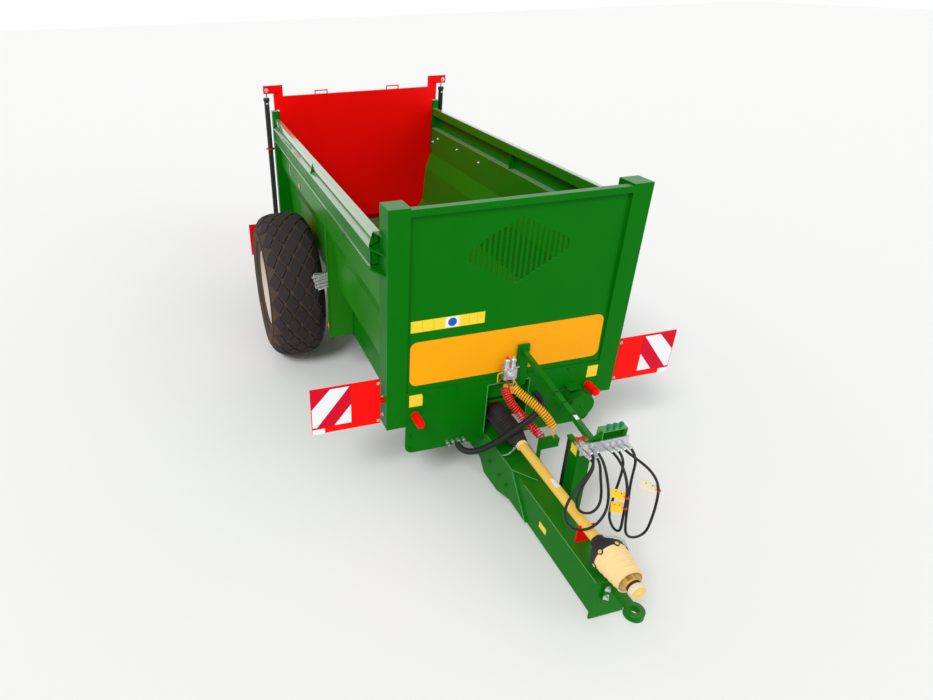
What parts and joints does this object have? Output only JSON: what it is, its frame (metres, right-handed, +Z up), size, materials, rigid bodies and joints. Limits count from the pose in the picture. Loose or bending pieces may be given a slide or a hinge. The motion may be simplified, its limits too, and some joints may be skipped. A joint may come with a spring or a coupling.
{
  "type": "manure spreader",
  "caption": "Trailed manure spreader with a narrow open body between two large wheels, slotted front wall, lifting rear door, upright rotors, box drawbar, jack and drive shaft.",
  "frame": {"origin": "on the ground, midway between the towing eye's front and the throwing discs' rear edge, and midway between the marker boards", "axes": "+X to the right in the picture, +Y to the rear, +Z up"},
  "size_m": [3.172, 7.2478, 2.68],
  "materials": {
    "green_paint": "gloss",
    "red_paint": "gloss",
    "orange_paint": "satin",
    "white_paint": "gloss",
    "black_paint": "satin",
    "dark_steel": "rough",
    "worn_steel": "worn",
    "galvanised": "zinc",
    "rod_chrome": "polished",
    "tyre_rubber": "matte",
    "hose_rubber": "satin",
    "guard_yellow": "matte",
    "guard_black": "matte",
    "air_red": "gloss",
    "air_yellow": "gloss"
  },
  "bodies": {
    "chassis": {"front_frame": "green_paint", "front_sheet": "green_paint", "name_plate": "orange_paint", "front_board": "green_paint", "chain_tighteners": "red_paint", "drum_guard": "green_paint", "pipe_ends": "galvanised", "side_wall_left": "green_paint", "side_wall_right": "green_paint", "side_rail_left": "green_paint", "side_rail_right": "green_paint", "wheel_panels": "green_paint", "floor_plate": "green_paint", "long_members": "green_paint", "cross_members": "green_paint", "axle": "dark_steel", "drawbar": "green_paint", "towing_eye": "green_paint", "shaft_rest": "red_paint", "gearbox": "red_paint", "shaft_boot": "guard_black", "shaft_tube": "guard_yellow", "guard_bell": "guard_black", "shaft_guard": "guard_yellow", "hose_arm": "green_paint", "hose_holder": "galvanised", "air_valve": "galvanised", "jack_sleeve": "green_paint", "jack_barrel": "black_paint", "marker_left": "red_paint", "marker_right": "red_paint", "rear_boards": "red_paint", "rear_posts": "green_paint", "lift_barrels": "black_paint", "rotor_frame": "green_paint", "rotor_box": "dark_steel", "scraper_floor": "worn_steel", "scraper_shafts": "dark_steel", "under_shaft": "dark_steel", "wheel_chock": "galvanised", "hose_one": "hose_rubber", "hose_two": "hose_rubber", "hose_three": "hose_rubber", "hose_four": "hose_rubber", "hose_bundle": "hose_rubber", "air_hose_red": "air_red", "air_hose_yellow": "air_yellow"},
    "wheel_left": {"tyre_left": "tyre_rubber", "rim_left": "white_paint"},
    "wheel_right": {"tyre_right": "tyre_rubber", "rim_right": "white_paint"},
    "door": {"rear_door": "red_paint", "lift_rods": "rod_chrome"},
    "rotor_left": {"rotor_left": "red_paint"},
    "rotor_right": {"rotor_right": "red_paint"},
    "yoke": {"shaft_yoke": "guard_yellow"},
    "jack_leg": {"jack_leg": "worn_steel", "jack_rod": "rod_chrome"}
  },
  "joints": [
    {"name": "wheel_left_turn", "type": "hinge", "parent": "chassis", "child": "wheel_left", "pos_m": [-1.272, 1.081, 0.8], "axis": [1, 0, 0], "continuous": true},
    {"name": "wheel_right_turn", "type": "hinge", "parent": "chassis", "child": "wheel_right", "pos_m": [1.272, 1.081, 0.8], "axis": [1, 0, 0], "continuous": true},
    {"name": "door_lift", "type": "slide", "parent": "chassis", "child": "door", "axis": [0, 0, 1], "range_m": [0, 0.9]},
    {"name": "rotor_left_turn", "type": "hinge", "parent": "chassis", "child": "rotor_left", "pos_m": [-0.44, 3.209, 1.45], "axis": [0, 0, 1], "continuous": true},
    {"name": "rotor_right_turn", "type": "hinge", "parent": "chassis", "child": "rotor_right", "pos_m": [0.44, 3.209, 1.45], "axis": [0, 0, 1], "continuous": true},
    {"name": "drive_yoke_turn", "type": "hinge", "parent": "chassis", "child": "yoke", "pos_m": [0, -3.436, 0.622], "axis": [0, 1, 0], "continuous": true},
    {"name": "jack_lift", "type": "slide", "parent": "chassis", "child": "jack_leg", "axis": [0, 0, 1], "range_m": [0, 0.18]}
  ],
  "couplings": [
    {"joint": "rotor_right_turn", "follows": "rotor_left_turn", "ratio": -1}
  ]
}
